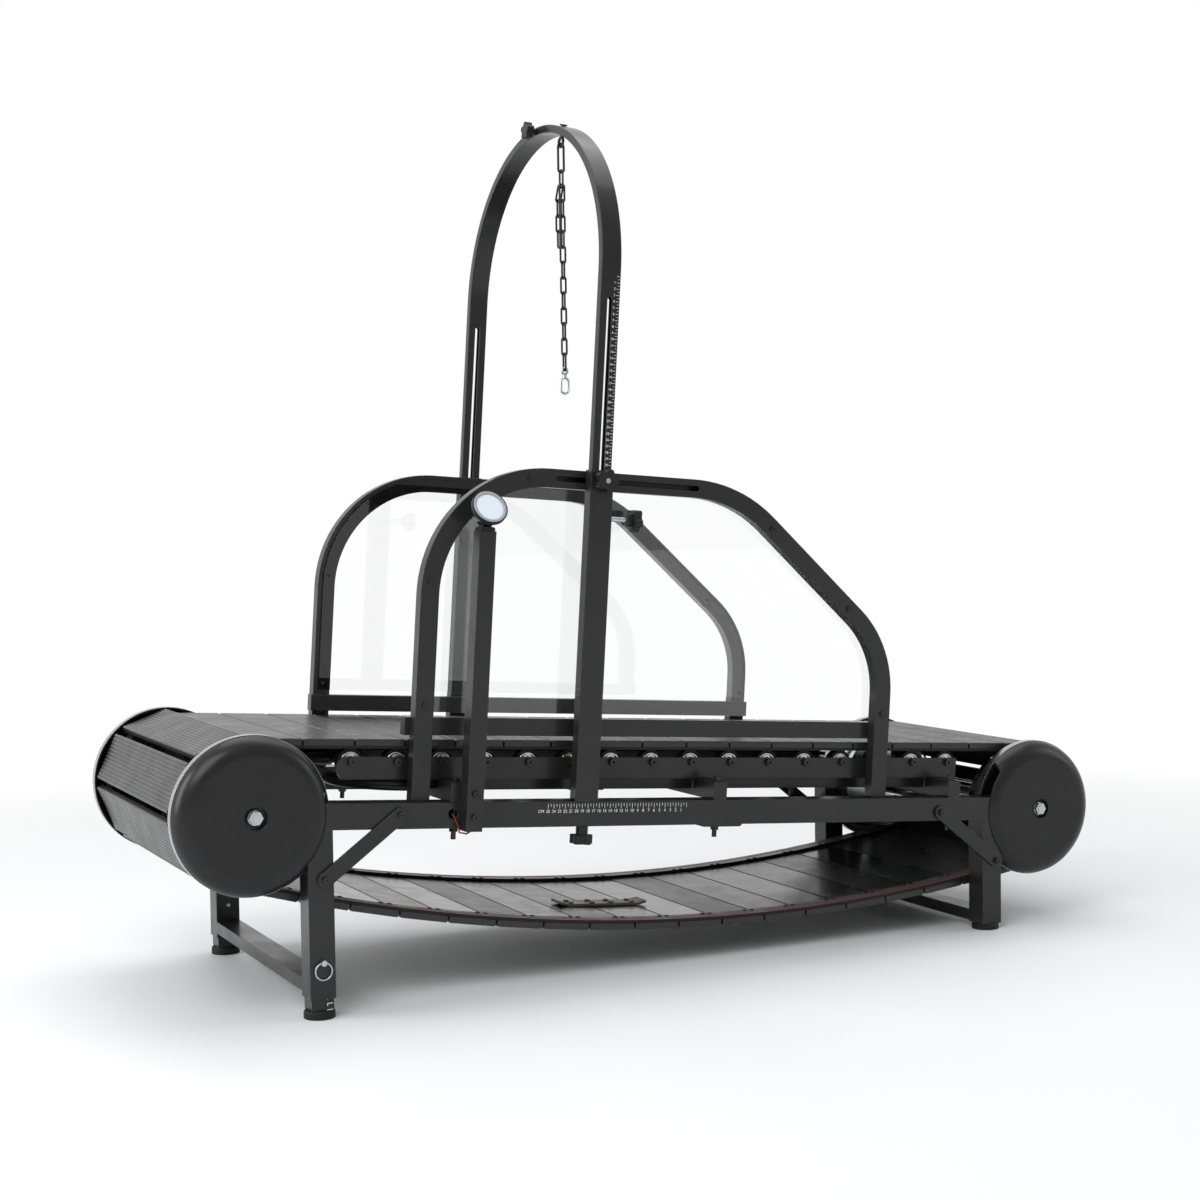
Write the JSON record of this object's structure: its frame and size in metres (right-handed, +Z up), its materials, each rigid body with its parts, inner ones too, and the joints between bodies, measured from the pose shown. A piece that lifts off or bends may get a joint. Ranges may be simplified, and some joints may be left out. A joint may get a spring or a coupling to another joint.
{
  "type": "dog treadmill",
  "caption": "Self-driven slat treadmill for dogs: inclined frame, slatted belt loop on rollers, clear side panels, sliding arch with a leash chain.",
  "frame": {"origin": "on the floor, under the middle of the machine's bounding box", "axes": "+X towards the rear, low end of the deck; +Y to the far side; +Z up"},
  "size_m": [1.6903, 0.6138, 1.4198],
  "materials": {
    "black_paint": "satin",
    "black_plastic": "matte",
    "black_steel": "satin",
    "zinc": "satin",
    "chrome": "gloss",
    "slat": "matte",
    "rubber": "matte",
    "clear_panel": "gloss",
    "lens": "gloss",
    "red_lead": "satin"
  },
  "bodies": {
    "frame": {"side_rails": "black_paint", "cross_tubes": "black_paint", "front_leg_frame": "black_paint", "rear_leg_frame": "black_paint", "leg_braces": "black_paint", "rear_feet": "rubber", "roller_rails": "black_paint", "frame_bolts": "black_steel", "axles": "zinc", "wheel_bearings": "zinc", "axle_nuts": "zinc", "drum_covers": "black_plastic", "belt_straps": "rubber", "slats_deck": "slat", "slats_return": "slat", "slats_on_drums": "slat", "belt_splice": "black_steel", "side_frames": "black_paint", "side_panels": "clear_panel", "kick_bars": "black_paint", "display_post": "black_paint", "sensor_lead": "red_lead", "speed_sensor": "black_plastic"},
    "front_drum": {"front_drum": "chrome"},
    "rear_drum": {"rear_drum": "chrome"},
    "deck_roller_01": {"deck_roller_01": "rubber"},
    "deck_roller_02": {"deck_roller_02": "rubber"},
    "deck_roller_03": {"deck_roller_03": "rubber"},
    "deck_roller_04": {"deck_roller_04": "rubber"},
    "deck_roller_05": {"deck_roller_05": "rubber"},
    "deck_roller_06": {"deck_roller_06": "rubber"},
    "deck_roller_07": {"deck_roller_07": "rubber"},
    "deck_roller_08": {"deck_roller_08": "rubber"},
    "deck_roller_09": {"deck_roller_09": "rubber"},
    "deck_roller_10": {"deck_roller_10": "rubber"},
    "deck_roller_11": {"deck_roller_11": "rubber"},
    "deck_roller_12": {"deck_roller_12": "rubber"},
    "deck_roller_13": {"deck_roller_13": "rubber"},
    "deck_roller_14": {"deck_roller_14": "rubber"},
    "deck_roller_15": {"deck_roller_15": "rubber"},
    "deck_roller_16": {"deck_roller_16": "rubber"},
    "front_leg_near": {"inner_leg_near": "black_paint", "front_foot_near": "rubber"},
    "leg_pin_near": {"leg_pin_near": "zinc"},
    "front_leg_far": {"inner_leg_far": "black_paint", "front_foot_far": "rubber"},
    "leg_pin_far": {"leg_pin_far": "zinc"},
    "carriage": {"arch_posts": "black_paint", "post_studs": "zinc"},
    "hoop": {"arch_hoop": "black_paint"},
    "clamp_knob_near": {"clamp_knob_near": "black_plastic"},
    "rail_knob_near": {"rail_knob_near": "black_plastic"},
    "clamp_knob_far": {"clamp_knob_far": "black_plastic"},
    "rail_knob_far": {"rail_knob_far": "black_plastic"},
    "height_knob": {"height_knob": "black_plastic"},
    "top_knob": {"top_knob": "black_plastic"},
    "chain": {"leash_chain": "black_steel"},
    "hook": {"snap_hook": "zinc"},
    "display": {"display_head": "black_plastic", "display_lens": "lens"}
  },
  "joints": [
    {"name": "front_drum_spin", "type": "hinge", "parent": "frame", "child": "front_drum", "pos_m": [-0.72481, 0.00861, 0.3121], "axis": [0, 1, 0], "continuous": true},
    {"name": "rear_drum_spin", "type": "hinge", "parent": "frame", "child": "rear_drum", "pos_m": [0.72481, 0.00861, 0.2087], "axis": [0, 1, 0], "continuous": true},
    {"name": "roller_01_spin", "type": "hinge", "parent": "frame", "child": "deck_roller_01", "pos_m": [-0.55561, 0.00861, 0.37743], "axis": [0, 1, 0], "continuous": true},
    {"name": "roller_02_spin", "type": "hinge", "parent": "frame", "child": "deck_roller_02", "pos_m": [-0.48113, 0.00861, 0.37211], "axis": [0, 1, 0], "continuous": true},
    {"name": "roller_03_spin", "type": "hinge", "parent": "frame", "child": "deck_roller_03", "pos_m": [-0.40664, 0.00861, 0.3668], "axis": [0, 1, 0], "continuous": true},
    {"name": "roller_04_spin", "type": "hinge", "parent": "frame", "child": "deck_roller_04", "pos_m": [-0.33216, 0.00861, 0.36149], "axis": [0, 1, 0], "continuous": true},
    {"name": "roller_05_spin", "type": "hinge", "parent": "frame", "child": "deck_roller_05", "pos_m": [-0.25768, 0.00861, 0.35618], "axis": [0, 1, 0], "continuous": true},
    {"name": "roller_06_spin", "type": "hinge", "parent": "frame", "child": "deck_roller_06", "pos_m": [-0.1832, 0.00861, 0.35086], "axis": [0, 1, 0], "continuous": true},
    {"name": "roller_07_spin", "type": "hinge", "parent": "frame", "child": "deck_roller_07", "pos_m": [-0.10872, 0.00861, 0.34555], "axis": [0, 1, 0], "continuous": true},
    {"name": "roller_08_spin", "type": "hinge", "parent": "frame", "child": "deck_roller_08", "pos_m": [-0.03424, 0.00861, 0.34024], "axis": [0, 1, 0], "continuous": true},
    {"name": "roller_09_spin", "type": "hinge", "parent": "frame", "child": "deck_roller_09", "pos_m": [0.04024, 0.00861, 0.33493], "axis": [0, 1, 0], "continuous": true},
    {"name": "roller_10_spin", "type": "hinge", "parent": "frame", "child": "deck_roller_10", "pos_m": [0.11472, 0.00861, 0.32961], "axis": [0, 1, 0], "continuous": true},
    {"name": "roller_11_spin", "type": "hinge", "parent": "frame", "child": "deck_roller_11", "pos_m": [0.1892, 0.00861, 0.3243], "axis": [0, 1, 0], "continuous": true},
    {"name": "roller_12_spin", "type": "hinge", "parent": "frame", "child": "deck_roller_12", "pos_m": [0.26368, 0.00861, 0.31899], "axis": [0, 1, 0], "continuous": true},
    {"name": "roller_13_spin", "type": "hinge", "parent": "frame", "child": "deck_roller_13", "pos_m": [0.33816, 0.00861, 0.31367], "axis": [0, 1, 0], "continuous": true},
    {"name": "roller_14_spin", "type": "hinge", "parent": "frame", "child": "deck_roller_14", "pos_m": [0.41264, 0.00861, 0.30836], "axis": [0, 1, 0], "continuous": true},
    {"name": "roller_15_spin", "type": "hinge", "parent": "frame", "child": "deck_roller_15", "pos_m": [0.48712, 0.00861, 0.30305], "axis": [0, 1, 0], "continuous": true},
    {"name": "roller_16_spin", "type": "hinge", "parent": "frame", "child": "deck_roller_16", "pos_m": [0.56161, 0.00861, 0.29774], "axis": [0, 1, 0], "continuous": true},
    {"name": "leg_near_extend", "type": "slide", "parent": "frame", "child": "front_leg_near", "axis": [0, 0, -1], "range_m": [-0.016, 0.054]},
    {"name": "pin_near_pull", "type": "slide", "parent": "frame", "child": "leg_pin_near", "axis": [0, -1, 0], "range_m": [0, 0.06]},
    {"name": "leg_far_extend", "type": "slide", "parent": "frame", "child": "front_leg_far", "axis": [0, 0, -1], "range_m": [-0.016, 0.054]},
    {"name": "pin_far_pull", "type": "slide", "parent": "frame", "child": "leg_pin_far", "axis": [0, 1, 0], "range_m": [0, 0.06]},
    {"name": "arch_along_rails", "type": "slide", "parent": "frame", "child": "carriage", "axis": [0.9975, 0, -0.0711], "range_m": [-0.065, 0.185]},
    {"name": "hoop_height", "type": "slide", "parent": "carriage", "child": "hoop", "axis": [0.0711, 0, 0.9975], "range_m": [-0.28, 0.01]},
    {"name": "clamp_knob_near_turn", "type": "hinge", "parent": "carriage", "child": "clamp_knob_near", "pos_m": [-0.14682, -0.26739, 0.80222], "axis": [0, -1, 0], "range_deg": [0, 360]},
    {"name": "rail_knob_near_turn", "type": "hinge", "parent": "carriage", "child": "rail_knob_near", "pos_m": [-0.18695, -0.25539, 0.23965], "axis": [-0.0711, 0, -0.9975], "range_deg": [0, 360]},
    {"name": "clamp_knob_far_turn", "type": "hinge", "parent": "carriage", "child": "clamp_knob_far", "pos_m": [-0.14682, 0.28461, 0.80222], "axis": [0, 1, 0], "range_deg": [0, 360]},
    {"name": "rail_knob_far_turn", "type": "hinge", "parent": "carriage", "child": "rail_knob_far", "pos_m": [-0.18695, 0.27261, 0.23965], "axis": [-0.0711, 0, -0.9975], "range_deg": [0, 360]},
    {"name": "height_knob_turn", "type": "hinge", "parent": "carriage", "child": "height_knob", "pos_m": [-0.08918, -0.25739, 0.73896], "axis": [0.9975, 0, -0.0711], "range_deg": [0, 360]},
    {"name": "top_knob_turn", "type": "hinge", "parent": "hoop", "child": "top_knob", "pos_m": [-0.13096, 0.01861, 1.40412], "axis": [-0.9975, 0, 0.0711], "range_deg": [0, 360]},
    {"name": "chain_swing", "type": "hinge", "parent": "hoop", "child": "chain", "pos_m": [-0.10651, -0.05144, 1.36736], "axis": [0, 1, 0], "range_deg": [-60, 60]},
    {"name": "hook_swing", "type": "hinge", "parent": "chain", "child": "hook", "pos_m": [-0.10651, -0.05344, 0.99231], "axis": [0, 1, 0], "range_deg": [-60, 60]},
    {"name": "display_tilt", "type": "hinge", "parent": "frame", "child": "display", "pos_m": [-0.35386, -0.27689, 0.73879], "axis": [-0.9975, 0, 0.0711], "range_deg": [-15, 30]}
  ],
  "couplings": [
    {"joint": "rear_drum_spin", "follows": "front_drum_spin", "ratio": 1},
    {"joint": "roller_01_spin", "follows": "front_drum_spin", "ratio": 4.7805},
    {"joint": "roller_02_spin", "follows": "front_drum_spin", "ratio": 4.7805},
    {"joint": "roller_03_spin", "follows": "front_drum_spin", "ratio": 4.7805},
    {"joint": "roller_04_spin", "follows": "front_drum_spin", "ratio": 4.7805},
    {"joint": "roller_05_spin", "follows": "front_drum_spin", "ratio": 4.7805},
    {"joint": "roller_06_spin", "follows": "front_drum_spin", "ratio": 4.7805},
    {"joint": "roller_07_spin", "follows": "front_drum_spin", "ratio": 4.7805},
    {"joint": "roller_08_spin", "follows": "front_drum_spin", "ratio": 4.7805},
    {"joint": "roller_09_spin", "follows": "front_drum_spin", "ratio": 4.7805},
    {"joint": "roller_10_spin", "follows": "front_drum_spin", "ratio": 4.7805},
    {"joint": "roller_11_spin", "follows": "front_drum_spin", "ratio": 4.7805},
    {"joint": "roller_12_spin", "follows": "front_drum_spin", "ratio": 4.7805},
    {"joint": "roller_13_spin", "follows": "front_drum_spin", "ratio": 4.7805},
    {"joint": "roller_14_spin", "follows": "front_drum_spin", "ratio": 4.7805},
    {"joint": "roller_15_spin", "follows": "front_drum_spin", "ratio": 4.7805},
    {"joint": "roller_16_spin", "follows": "front_drum_spin", "ratio": 4.7805}
  ]
}
